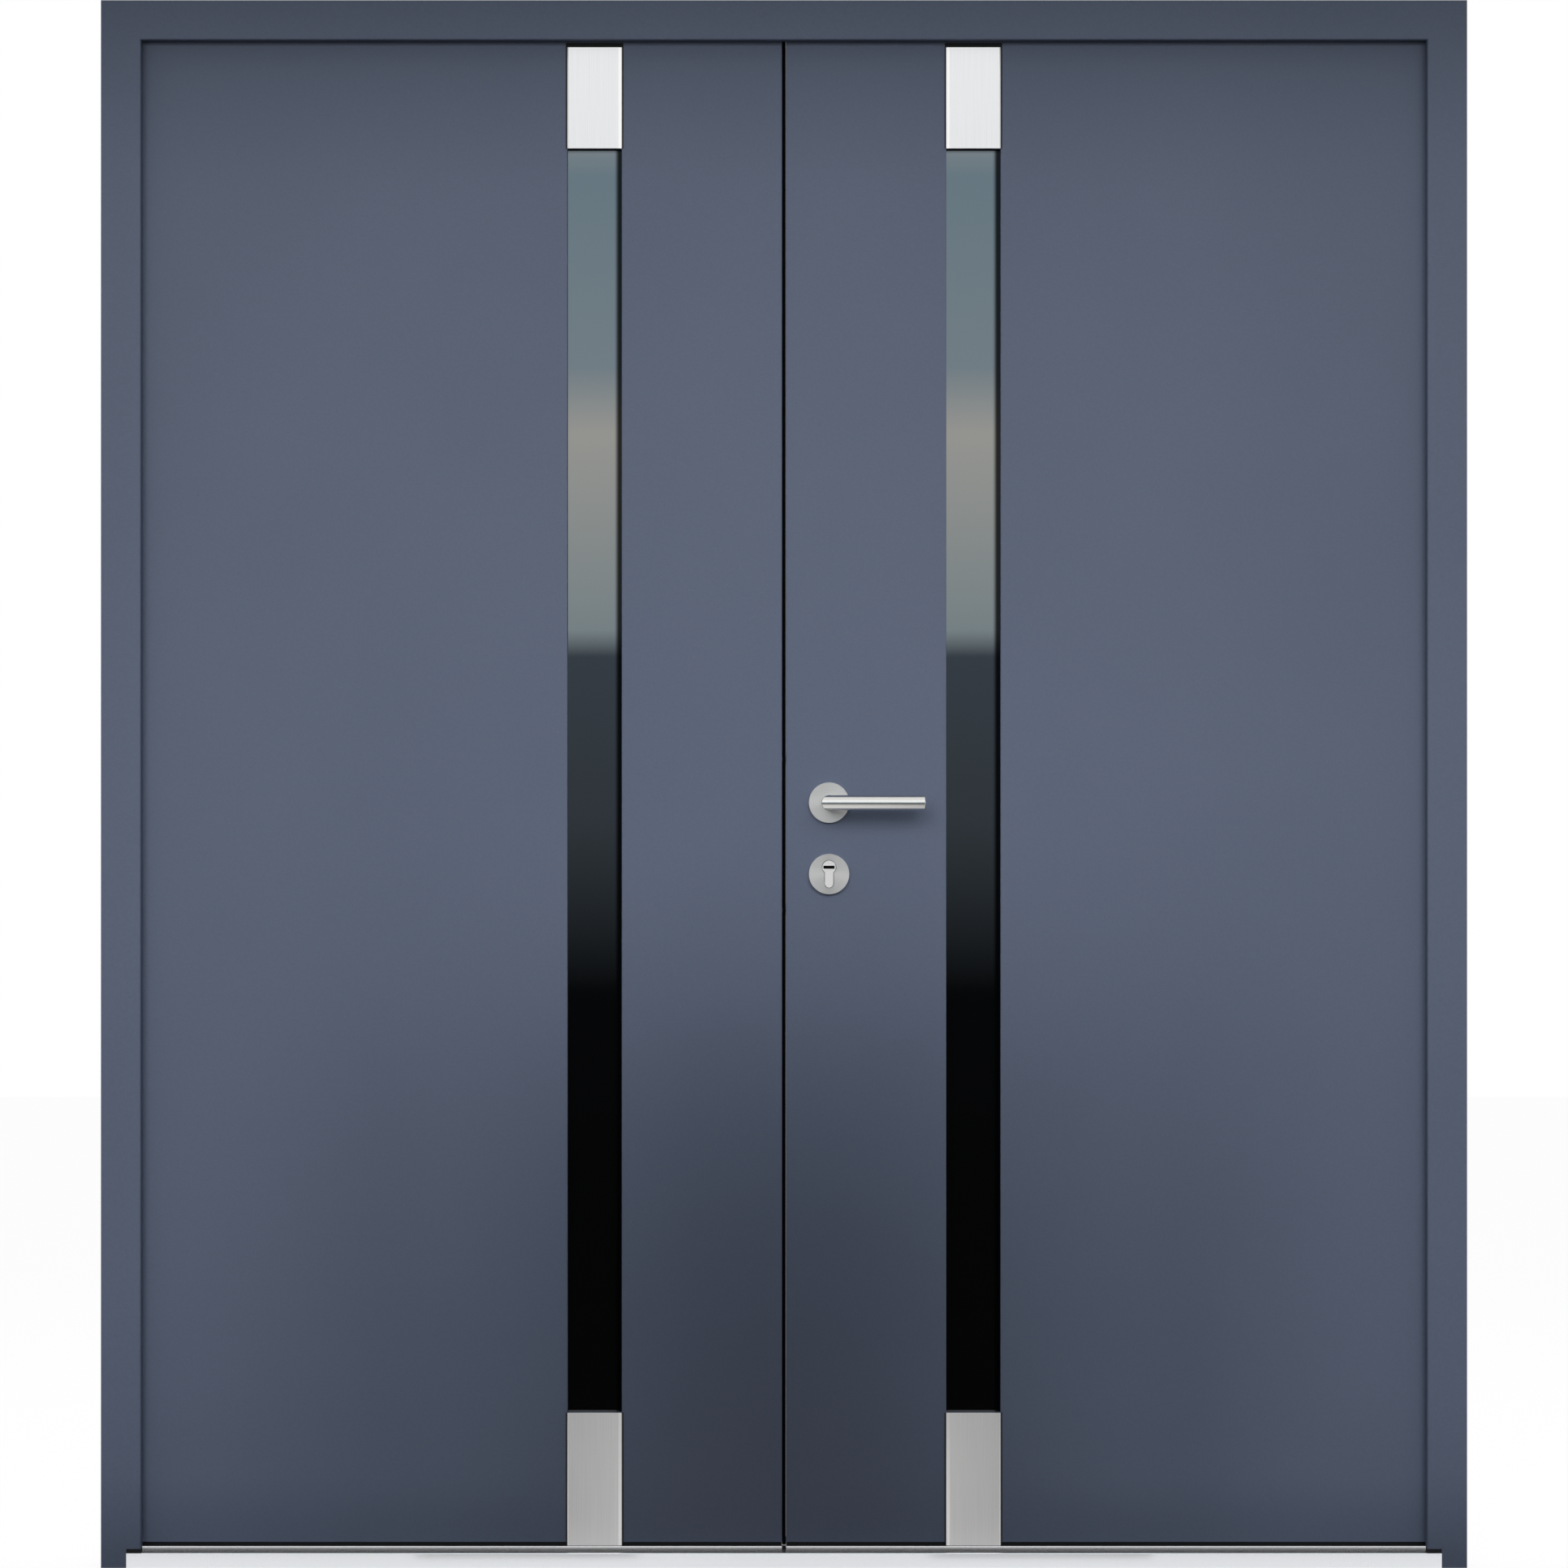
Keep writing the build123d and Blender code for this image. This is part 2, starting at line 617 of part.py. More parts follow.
with BuildPart() as lever_spindle:
    block(
        (LOCK_OFFSET - SPINDLE / 2, LOCK_OFFSET + SPINDLE / 2),
        (LEAF_FRONT - SPINDLE_REACH, LEAF_BACK + SPINDLE_REACH),
        (LEVER_HEIGHT - SPINDLE / 2, LEVER_HEIGHT + SPINDLE / 2),
    )
save(lever_spindle, "lever_spindle")

with BuildPart() as lock_cylinder:
    proud = ROSE_HEIGHT + CYLINDER_PROUD
    with BuildSketch(Plane.XZ.offset(-LEAF_BACK - proud)):
        cylinder_outline(0, 0)
    extrude(amount=LEAF_THICKNESS + 2 * proud)
    for face, out in ((LEAF_FRONT, OUTWARD), (LEAF_BACK, INWARD)):
        end = face + out * proud
        block(
            (LOCK_OFFSET - KEY_SLOT_LENGTH / 2, LOCK_OFFSET + KEY_SLOT_LENGTH / 2),
            (end, end - out * KEY_SLOT_DEPTH),
            (PLUG_HEIGHT - KEY_SLOT_HEIGHT / 2, PLUG_HEIGHT + KEY_SLOT_HEIGHT / 2),
            mode=Mode.SUBTRACT,
        )
save(lock_cylinder, "lock_cylinder")
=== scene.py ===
"""Looks of a steel entrance double door: finishes, fixings, soft seals and a plain studio.

Metres, in the frame of the solids: X runs right seen from outside, Y into the building, Z up.
"""

import logging
import math
from collections.abc import Iterable, Sequence
from dataclasses import dataclass
from enum import Enum
from typing import Any, ClassVar, Self

import bmesh
import bpy
from bmesh.types import BMesh, BMFace
from bpy.types import Material, Node, NodeSocket, NodeTree, Object, Scene
from mathutils import Matrix, Vector

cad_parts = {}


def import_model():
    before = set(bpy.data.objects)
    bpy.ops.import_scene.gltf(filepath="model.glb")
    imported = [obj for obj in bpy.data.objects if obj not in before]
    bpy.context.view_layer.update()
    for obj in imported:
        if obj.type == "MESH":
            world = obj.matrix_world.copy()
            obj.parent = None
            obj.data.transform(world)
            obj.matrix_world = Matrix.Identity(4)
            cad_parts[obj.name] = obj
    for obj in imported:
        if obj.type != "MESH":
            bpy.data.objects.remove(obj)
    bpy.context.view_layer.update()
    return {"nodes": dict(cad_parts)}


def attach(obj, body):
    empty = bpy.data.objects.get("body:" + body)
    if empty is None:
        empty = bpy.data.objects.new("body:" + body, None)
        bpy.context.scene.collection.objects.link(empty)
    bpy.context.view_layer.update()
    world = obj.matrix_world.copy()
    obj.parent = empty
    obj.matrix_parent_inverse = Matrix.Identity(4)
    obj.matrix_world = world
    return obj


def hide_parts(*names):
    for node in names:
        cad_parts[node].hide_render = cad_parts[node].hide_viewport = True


LOG = logging.getLogger("double_door")
WHITE = (1.0, 1.0, 1.0, 1.0)
SIXTH_TURN = math.pi / 3

Point = tuple[float, float, float]
Tones = tuple[tuple[float, str], ...]


class Side(Enum):
    """Which leaf, seen from outside; the value is the sign of its X."""

    LEFT = -1
    RIGHT = 1

    @property
    def word(self) -> str:
        """Prefix of this side's node names."""
        return self.name.lower()

    @property
    def leaf(self) -> str:
        """Body that this side's leaf pieces ride on."""
        return f"{self.word}_leaf"


class Brushing(Enum):
    """Way that a brushed surface's fine lines run; the value is the axis's index."""

    ACROSS = 0
    UPRIGHT = 2


def mm(value: float) -> float:
    """Millimetres in metres."""
    return value / 1000.0


def linear(colour: str) -> tuple[float, float, float, float]:
    """Turn an sRGB hex colour into linear light.

    Args:
        colour: six hex digits after a hash.

    Returns:
        Red, green, blue and a full alpha.
    """
    parts = [int(colour[i : i + 2], 16) / 255.0 for i in (1, 3, 5)]
    red, green, blue = (p / 12.92 if p <= 0.04045 else ((p + 0.055) / 1.055) ** 2.4 for p in parts)
    return red, green, blue, 1.0


def add_node(
    tree: NodeTree, kind: str, inputs: dict[Any, Any] | None = None, **settings: Any
) -> Node:
    """Add a node with its settings and links.

    Args:
        tree: the node tree it goes into.
        kind: Blender's identifier of the node.
        inputs: a value, or an output socket to link, for each input by name or index.
        settings: the node's own properties.

    Returns:
        The new node.
    """
    node = tree.nodes.new(kind)
    for name, value in settings.items():
        setattr(node, name, value)
    for key, value in (inputs or {}).items():
        if isinstance(value, NodeSocket):
            tree.links.new(value, node.inputs[key])
        else:
            node.inputs[key].default_value = value
    return node


def compute(tree: NodeTree, operation: str, *terms: Any) -> NodeSocket:
    """Result of a math node on numbers or sockets."""
    return add_node(tree, "ShaderNodeMath", dict(enumerate(terms)), operation=operation).outputs[0]


def compute_vector(tree: NodeTree, operation: str, *terms: Any) -> Node:
    """Math node on vectors or sockets, with a vector and a number as its results."""
    return add_node(tree, "ShaderNodeVectorMath", dict(enumerate(terms)), operation=operation)


def bare_material(name: str) -> Material:
    """Make a material that has no nodes yet.

    Args:
        name: its name.

    Returns:
        The material.
    """
    material = bpy.data.materials.new(name)
    material.use_nodes = True
    material.node_tree.nodes.clear()
    return material


@dataclass(frozen=True)
class Surface:
    """Nodes of a material under way: the tree, its shader and the Object coordinates."""

    tree: NodeTree
    shader: Node
    place: NodeSocket

    def noise(self, grain: float, detail: float, place: NodeSocket | None = None) -> NodeSocket:
        """Lay an even noise.

        Args:
            grain: its size, in metres.
            detail: how many finer layers it has.
            place: coordinates to use in place of the Object ones.

        Returns:
            Its level, from 0 to 1.
        """
        laid = self.place if place is None else place
        inputs = {"Vector": laid, "Scale": 1 / grain, "Detail": detail}
        return add_node(self.tree, "ShaderNodeTexNoise", inputs).outputs["Fac"]

    def tint(self, share: NodeSocket, first: str, second: str) -> None:
        """Blend the base colour from one to another.

        Args:
            share: how much of the second colour shows.
            first: the colour at 0.
            second: the colour at 1.
        """
        # Sockets 6, 7 and 2 are the colour ones; the node's socket names repeat for each type.
        inputs = {0: share, 6: linear(first), 7: linear(second)}
        blend = add_node(self.tree, "ShaderNodeMix", inputs, data_type="RGBA")
        self.tree.links.new(blend.outputs[2], self.shader.inputs["Base Color"])

    def roughen(self, share: NodeSocket, low: float, high: float) -> None:
        """Vary the roughness.

        Args:
            share: where between the limits it is.
            low: the roughness at 0.
            high: the roughness at 1.
        """
        inputs = {"Value": share, "To Min": low, "To Max": high}
        varied = add_node(self.tree, "ShaderNodeMapRange", inputs)
        self.tree.links.new(varied.outputs["Result"], self.shader.inputs["Roughness"])

    def emboss(self, height: NodeSocket, strength: float, depth: float) -> None:
        """Raise a relief.

        Args:
            height: 0 in the hollows and 1 on the crests.
            strength: how much of the relief shows.
            depth: from hollow to crest, in metres.
        """
        inputs = {"Height": height, "Strength": strength, "Distance": depth}
        relief = add_node(self.tree, "ShaderNodeBump", inputs)
        self.tree.links.new(relief.outputs["Normal"], self.shader.inputs["Normal"])

    def fade(
        self, along: NodeSocket, band: tuple[float, float], ends: tuple[float, float]
    ) -> NodeSocket:
        """Pass smoothly from one value to another.

        Args:
            along: the coordinate that it follows.
            band: where the change starts and ends.
            ends: the values before and after it.

        Returns:
            The value at each point.
        """
        inputs = {
            "Value": along,
            "From Min": band[0],
            "From Max": band[1],
            "To Min": ends[0],
            "To Max": ends[1],
        }
        faded = add_node(self.tree, "ShaderNodeMapRange", inputs, interpolation_type="SMOOTHSTEP")
        return faded.outputs["Result"]


@dataclass(frozen=True)
class Finish:
    """A surface: its common name, base colour and how it mirrors."""

    label: str
    colour: str
    roughness: float
    metallic: float = 0.0

    def make(self) -> Material:
        """Build the material.

        Returns:
            The material, with its pattern laid on Object coordinates.
        """
        material = bpy.data.materials.new(self.label)
        material.use_nodes = True
        tree = material.node_tree
        shader = tree.nodes["Principled BSDF"]
        shader.inputs["Base Color"].default_value = linear(self.colour)
        shader.inputs["Roughness"].default_value = self.roughness
        shader.inputs["Metallic"].default_value = self.metallic
        place = add_node(tree, "ShaderNodeTexCoord").outputs["Object"]
        self.pattern(Surface(tree, shader, place))
        return material

    def pattern(self, surface: Surface) -> None:
        """Lay the finish's own detail; a plain finish has none."""


@dataclass(frozen=True)
class PowderCoat(Finish):
    """Matt polyester powder coat baked on steel sheet: fine even grain, broad soft clouds."""

    light: str = "#5A6377"
    gloss: float = 0.17
    gloss_swing: float = 0.05
    # The real grain is about 0.3 mm; it is drawn ten times as coarse so that it shows.
    grain: float = mm(3.0)
    grain_depth: float = mm(0.05)
    grain_strength: float = 0.35
    grain_share: float = 0.55
    cloud: float = mm(420.0)

    def pattern(self, surface: Surface) -> None:
        """Speckle the colour, cloud it softly and raise the grain.

        Args:
            surface: the material's nodes.
        """
        speck = surface.noise(self.grain, detail=2.0)
        cloud = surface.noise(self.cloud, detail=3.0)
        specks = compute(surface.tree, "MULTIPLY", speck, self.grain_share)
        share = compute(surface.tree, "MULTIPLY_ADD", cloud, 1 - self.grain_share, specks)
        surface.tint(share, self.colour, self.light)
        surface.roughen(speck, self.roughness - self.gloss_swing, self.roughness + self.gloss_swing)
        surface.emboss(speck, self.grain_strength, self.grain_depth)
        surface.shader.inputs["Specular IOR Level"].default_value = self.gloss


@dataclass(frozen=True)
class BrushedMetal(Finish):
    """Belt-brushed or drawn metal: long fine lines one way, which streak the reflections."""

    dark: str = "#DADAD8"
    gloss_swing: float = 0.06
    brushing: Brushing = Brushing.UPRIGHT
    # Real brushing lines are about 0.1 mm apart; they are drawn coarser so that they show.
    line: float = mm(1.2)
    line_length: float = mm(140.0)
    line_depth: float = mm(0.01)
    line_strength: float = 0.12

    def pattern(self, surface: Surface) -> None:
        """Stretch one noise along the brushing for colour, roughness and relief.

        Args:
            surface: the material's nodes.
        """
        stretch = [1 / self.line] * 3
        stretch[self.brushing.value] = 1 / self.line_length
        inputs = {"Vector": surface.place, "Scale": stretch}
        laid = add_node(surface.tree, "ShaderNodeMapping", inputs)
        lines = surface.noise(1.0, detail=3.0, place=laid.outputs["Vector"])
        surface.tint(lines, self.dark, self.colour)
        surface.roughen(lines, self.roughness - self.gloss_swing, self.roughness + self.gloss_swing)
        surface.emboss(lines, self.line_strength, self.line_depth)


@dataclass(frozen=True)
class TurnedMetal(Finish):
    """Stainless face turned on a lathe: rings about an axis along Y, which fan the highlights."""

    across: float = 0.0
    height: float = 0.0
    dark: str = "#D5D2D0"
    # Real turning rings are about 0.1 mm apart; they are drawn coarser so that they show.
    ring: float = mm(0.8)
    streak: float = 0.75

    def pattern(self, surface: Surface) -> None:
        """Point the anisotropic sheen round the centre and vary it ring by ring.

        Args:
            surface: the material's nodes.
        """
        tree = surface.tree
        centre, in_face, axis = (self.across, 0.0, self.height), (1.0, 0.0, 1.0), (0.0, 1.0, 0.0)
        from_centre = compute_vector(tree, "SUBTRACT", surface.place, centre).outputs["Vector"]
        flat = compute_vector(tree, "MULTIPLY", from_centre, in_face).outputs["Vector"]
        around = compute_vector(tree, "CROSS_PRODUCT", flat, axis).outputs["Vector"]
        turned = add_node(
            tree,
            "ShaderNodeVectorTransform",
            {"Vector": around},
            vector_type="VECTOR",
            convert_from="OBJECT",
            convert_to="WORLD",
        )
        reach = compute_vector(tree, "LENGTH", flat).outputs["Value"]
        inputs = {"W": reach, "Scale": 1 / self.ring, "Detail": 2.0}
        rings = add_node(tree, "ShaderNodeTexNoise", inputs, noise_dimensions="1D")
        surface.tint(rings.outputs["Fac"], self.dark, self.colour)
        tree.links.new(turned.outputs["Vector"], surface.shader.inputs["Tangent"])
        surface.shader.inputs["Anisotropic"].default_value = self.streak


@dataclass(frozen=True)
class TintedGlass(Finish):
    """Dark solar-control glass with a soft mirror coat, which reflects about a sixth of the light.

    Where an edge is given, a painted shade dims the reflection towards the strip's right edge and
    its top.
    """

    mirror: float = 2.6
    haze: float = 0.03
    smear: float = mm(60.0)
    coat: float = 0.5
    # Painted shade: how far the reflection is dimmed, and where, along the strip's right edge and
    # top.
    painted_shade_coat: float = 0.03
    painted_shade_edge: float | None = None
    painted_shade_width: float = mm(4.0)
    painted_shade_band: float = mm(11.0)
    painted_shade_top: float = mm(1903.8)
    painted_shade_top_band: float = mm(6.0)
    painted_shade_top_share: float = 0.25

    def pattern(self, surface: Surface) -> None:
        """Leave faint wiping marks in the gloss, set the coat's strength and dim it along the edges
        as painted shade.

        Args:
            surface: the material's nodes.
        """
        marks = surface.noise(self.smear, detail=4.0)
        surface.roughen(marks, self.roughness, self.roughness + self.haze)
        surface.shader.inputs["IOR"].default_value = self.mirror
        if self.painted_shade_edge is None:
            return
        # Painted shade: the reflection is dimmed towards the right edge and the top.
        spot = add_node(surface.tree, "ShaderNodeSeparateXYZ", {"Vector": surface.place})
        right = (self.painted_shade_edge - self.painted_shade_band, self.painted_shade_edge - self.painted_shade_width)
        across = surface.fade(spot.outputs["X"], right, (self.coat, self.painted_shade_coat))
        top = (self.painted_shade_top - self.painted_shade_top_band, self.painted_shade_top)
        upwards = surface.fade(spot.outputs["Z"], top, (1.0, self.painted_shade_top_share))
        painted_shade_share = compute(surface.tree, "MULTIPLY", across, upwards)
        surface.tree.links.new(painted_shade_share, surface.shader.inputs["Specular IOR Level"])


@dataclass(frozen=True)
class Moulded(Finish):
    """Extruded rubber or moulded plastic: matt, with a fine random grain."""

    light: str = "#1C1D1F"
    gloss: float = 0.12
    grain: float = mm(1.5)
    grain_depth: float = mm(0.03)
    grain_strength: float = 0.2

    def pattern(self, surface: Surface) -> None:
        """Mottle the colour and raise the grain a little.

        Args:
            surface: the material's nodes.
        """
        grain = surface.noise(self.grain, detail=2.0)
        surface.tint(grain, self.colour, self.light)
        surface.emboss(grain, self.grain_strength, self.grain_depth)
        surface.shader.inputs["Specular IOR Level"].default_value = self.gloss


def dress(material: Material, objects: Iterable[Object]) -> None:
    """Give objects one material in place of what they have.

    Args:
        material: the finish.
        objects: CAD nodes or new pieces.
    """
    for piece in objects:
        piece.data.materials.clear()
        piece.data.materials.append(material)


def link_mesh(mesh: BMesh, name: str) -> Object:
    """Turn a bmesh into an object of the scene.

    Args:
        mesh: the shape, in place; it is freed.
        name: the object's name.

    Returns:
        The new object, at the origin.
    """
    data = bpy.data.meshes.new(name)
    mesh.to_mesh(data)
    mesh.free()
    piece = bpy.data.objects.new(name, data)
    bpy.context.scene.collection.objects.link(piece)
    return piece


def settle(mesh: BMesh, name: str, body: str, material: Material) -> Object:
    """Turn a finished bmesh into a piece that rides on a body.

    Args:
        mesh: the shape, in place; it is freed.
        name: the piece's name.
        body: the body it moves with.
        material: its finish.

    Returns:
        The new object.
    """
    bmesh.ops.recalc_face_normals(mesh, faces=mesh.faces)
    piece = link_mesh(mesh, name)
    dress(material, [piece])
    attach(piece, body)
    LOG.info("%s: %d faces on %s", name, len(piece.data.polygons), body)
    return piece


def add_disc(mesh: BMesh, radius: float, segments: int, place: Matrix) -> BMFace:
    """Add a flat disc.

    Args:
        mesh: where it goes.
        radius: its radius.
        segments: the number of its edges.
        place: where it lies and which way it faces.

    Returns:
        Its face.
    """
    disc = bmesh.ops.create_circle(
        mesh, cap_ends=True, radius=radius, segments=segments, matrix=place
    )
    return disc["verts"][0].link_faces[0]


def push_face(mesh: BMesh, face: BMFace, run: Sequence[float]) -> BMFace:
    """Extrude a flat face along a straight run; the face itself stays behind.

    Args:
        mesh: what the face belongs to.
        face: the face to push.
        run: the vector from its place to the new one.

    Returns:
        The face at the far end.
    """
    pushed = bmesh.ops.extrude_face_region(mesh, geom=[face])["geom"]
    end = next(part for part in pushed if isinstance(part, BMFace))
    bmesh.ops.translate(mesh, verts=end.verts, vec=run)
    return end


def extrude_profile(mesh: BMesh, corners: Sequence[Point], run: Point) -> None:
    """Push a flat outline, its corners in order, along a straight run."""
    push_face(mesh, mesh.faces.new([mesh.verts.new(corner) for corner in corners]), run)


@dataclass(frozen=True)
class Screw:
    """Raised countersunk screw head with a hexagon socket."""

    radius: float = mm(4.2)
    crown: float = mm(0.6)
    rim: float = mm(0.25)
    sunk: float = mm(0.3)
    socket: float = mm(1.7)
    socket_depth: float = mm(0.8)
    segments: int = 24

    def stamp(self, mesh: BMesh, spot: Point, outward: Point) -> None:
        """Add one head, drawn facing up at the origin and then put in its place.

        Args:
            mesh: where it goes.
            spot: its centre on the plate's face.
            outward: the way the head faces.
        """
        before = set(mesh.verts)
        disc = add_disc(mesh, self.radius, self.segments, Matrix.Translation((0, 0, -self.sunk)))
        top = push_face(mesh, disc, (0, 0, self.sunk + self.rim))
        bmesh.ops.inset_region(mesh, faces=[top], thickness=self.radius - self.socket)
        for vert in top.verts:
            turn = math.atan2(vert.co.y, vert.co.x)
            off_flat = turn % SIXTH_TURN - SIXTH_TURN / 2
            reach = self.socket / math.cos(off_flat)
            vert.co = (reach * math.cos(turn), reach * math.sin(turn), self.crown)
        push_face(mesh, top, (0, 0, -self.socket_depth))
        bmesh.ops.delete(mesh, geom=[top], context="FACES_ONLY")
        made = [vert for vert in mesh.verts if vert not in before]
        facing = Vector((0, 0, 1)).rotation_difference(Vector(outward)).to_matrix().to_4x4()
        bmesh.ops.transform(mesh, matrix=Matrix.Translation(Vector(spot)) @ facing, verts=made)


@dataclass(frozen=True)
class Finishes:
    """Every material of the door."""

    paint: Material
    plate: Material
    handle: Material
    lever_rose: Material
    cylinder_rose: Material
    cylinder: Material
    hinge: Material
    lock: Material
    threshold: Material
    inner_glass: Material
    outer_glass: dict[Side, Material]
    rubber: Material
    plastic: Material

    @classmethod
    def make(cls) -> Self:
        """Make each material once.

        Returns:
            The set of them.
        """
        lever_rose, cylinder_rose = (
            TurnedMetal(
                f"turned_stainless_{name}_rose", "#EDEAE8", 0.4, 1.0, Lock.line_across, height
            ).make()
            for name, height in (
                ("lever", Lock.lever_height),
                ("cylinder", Lock.cylinder_rose_height),
            )
        )
        return cls(
            paint=PowderCoat("powder_coated_steel", "#495367", 0.5).make(),
            plate=BrushedMetal(
                "brushed_stainless_plate", "#EFECEB", 0.38, 1.0, dark="#DDDBDA"
            ).make(),
            handle=BrushedMetal(
                "satin_stainless_lever",
                "#D9D8D5",
                0.24,
                1.0,
                brushing=Brushing.ACROSS,
                line=mm(0.9),
            ).make(),
            lever_rose=lever_rose,
            cylinder_rose=cylinder_rose,
            cylinder=BrushedMetal(
                "satin_nickel_brass",
                "#FBF9F8",
                0.6,
                1.0,
                dark="#F3F1F0",
                line=mm(0.8),
                line_length=mm(8),
            ).make(),
            hinge=BrushedMetal("satin_steel_hinge", "#BDBDBE", 0.38, 1.0, dark="#A9A9AA").make(),
            lock=BrushedMetal(
                "brushed_steel_lock_plate", "#C4C4C5", 0.36, 1.0, dark="#B0B0B1"
            ).make(),
            threshold=BrushedMetal(
                "anodised_aluminium",
                "#F4F6F9",
                0.22,
                0.9,
                dark="#EAECEF",
                brushing=Brushing.ACROSS,
                line=mm(1.6),
            ).make(),
            inner_glass=TintedGlass("tinted_inner_glass", "#030405", 0.0).make(),
            # Each outer glass has a painted shade along its right edge and top.
            outer_glass={
                side: TintedGlass(
                    f"tinted_{side.word}_glass", "#030405", 0.0, painted_shade_edge=edge
                ).make()
                for side, edge in Leaf.painted_shade_glass_edges.items()
            },
            rubber=Moulded("extruded_rubber", "#101112", 0.62).make(),
            plastic=Moulded("moulded_black_plastic", "#17181A", 0.5, light="#1F2023").make(),
        )


@dataclass
class DoorFrame:
    """Jambs, header, threshold, gasket and the caps over the wall anchors."""

    rebate_across: float = mm(881)
    anchor_deep: float = mm(7.5)
    anchor_lowest: float = mm(300)
    anchor_pitch: float = mm(750)
    anchor_count: int = 3
    cap_radius: float = mm(7.3)
    cap_proud: float = mm(0.4)
    cap_sunk: float = mm(1.6)
    cap_chamfer: float = mm(1.2)
    cap_segments: int = 32

    def build(self, nodes: dict[str, Object], finishes: Finishes) -> None:
        """Dress the frame's nodes and add the anchor caps.

        Args:
            nodes: the CAD nodes by name.
            finishes: the door's materials.
        """
        dress(finishes.paint, [nodes["left_jamb"], nodes["right_jamb"], nodes["header"]])
        dress(finishes.threshold, [nodes["threshold"]])
        dress(finishes.rubber, [nodes["frame_gasket"], nodes["jamb_foot_pads"]])
        for side in Side:
            self.add_caps(side, finishes)

    def add_caps(self, side: Side, finishes: Finishes) -> None:
        """Close one jamb's anchor holes with slightly domed caps.

        Args:
            side: which jamb.
            finishes: the door's materials.
        """
        mesh = bmesh.new()
        inward = Vector((-side.value, 0, 0))
        facing = Matrix.Rotation(-side.value * math.pi / 2, 4, "Y")
        sunk = Matrix.Translation((0, 0, -self.cap_sunk))
        rise = self.cap_proud / 2
        for index in range(self.anchor_count):
            height = self.anchor_lowest + index * self.anchor_pitch
            spot = (side.value * self.rebate_across, self.anchor_deep, height)
            place = Matrix.Translation(spot) @ facing @ sunk
            disc = add_disc(mesh, self.cap_radius, self.cap_segments, place)
            top = push_face(mesh, disc, inward * (self.cap_sunk + rise))
            bmesh.ops.inset_region(mesh, faces=[top], thickness=self.cap_chamfer, depth=rise)
        settle(mesh, f"{side.word}_anchor_caps", "frame", finishes.plastic)


@dataclass
class Leaf:
    """One leaf: skins, core, glass strip, plates and seals."""

    # X of the right edge of each side's outer glass strip, along which a painted shade dims the
    # glass's reflection.
    painted_shade_glass_edges: ClassVar[dict[Side, float]] = {Side.LEFT: mm(-218), Side.RIGHT: mm(291)}

    side: Side

    def build(self, nodes: dict[str, Object], finishes: Finishes) -> None:
        """Dress the leaf's nodes.

        Args:
            nodes: the CAD nodes by name.
            finishes: the door's materials.
        """
        looks = (
            (finishes.paint, ("outer_skin", "inner_skin")),
            (finishes.plastic, ("core", "glass_spacer")),
            (finishes.outer_glass[self.side], ("outer_glass",)),
            (finishes.inner_glass, ("inner_glass",)),
            (finishes.plate, ("top_plate", "bottom_plate", "inner_plates")),
            (finishes.rubber, ("plate_beds", "bottom_seal")),
        )
        for material, names in looks:
            dress(material, [nodes[f"{self.side.word}_{name}"] for name in names])


@dataclass
class MeetingSeal:
    """Rubber strip in the left leaf's meeting edge.

    A soft lip closes the gap between the leaves, and a foot fills it below them.
    """

    left_edge: float = mm(-2.5)
    base: float = mm(1.6)
    reach: float = mm(2.4)
    near: float = mm(24.5)
    far: float = mm(32.5)
    low: float = mm(20.8)
    high: float = mm(2056)
    # The lip's corners: how far short of its reach, and how far in from the near side.
    lip_tip: tuple[tuple[float, float], ...] = (
        (mm(0.6), mm(0.6)),
        (0.0, mm(1.2)),
        (0.0, mm(2.2)),
    )
    # The inner corner between lip and base: out from the base, and in from the near side.
    lip_root: tuple[float, float] = (mm(0.4), mm(3.4))
    foot_half: float = mm(2.9)
    foot_high: float = mm(30.6)

    def build(self, finishes: Finishes) -> None:
        """Draw the strip's section, base and lip in one, push it up the edge and add the foot.

        Args:
            finishes: the door's materials.
        """
        face = self.left_edge + self.base
        section = (
            (self.left_edge, self.near),
            (face, self.near),
            *((self.reach - short, self.near + deep) for short, deep in self.lip_tip),
            (face + self.lip_root[0], self.near + self.lip_root[1]),
            (face, self.far),
            (self.left_edge, self.far),
        )
        half = self.foot_half
        foot = ((-half, self.near), (half, self.near), (half, self.far), (-half, self.far))
        mesh = bmesh.new()
        for outline, low, high in (
            (section, self.foot_high, self.high),
            (foot, self.low, self.foot_high),
        ):
            extrude_profile(mesh, [(x, y, low) for x, y in outline], (0, 0, high - low))
        seal = settle(mesh, "meeting_lip_seal", Side.LEFT.leaf, finishes.rubber)
        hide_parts("left_meeting_seal")


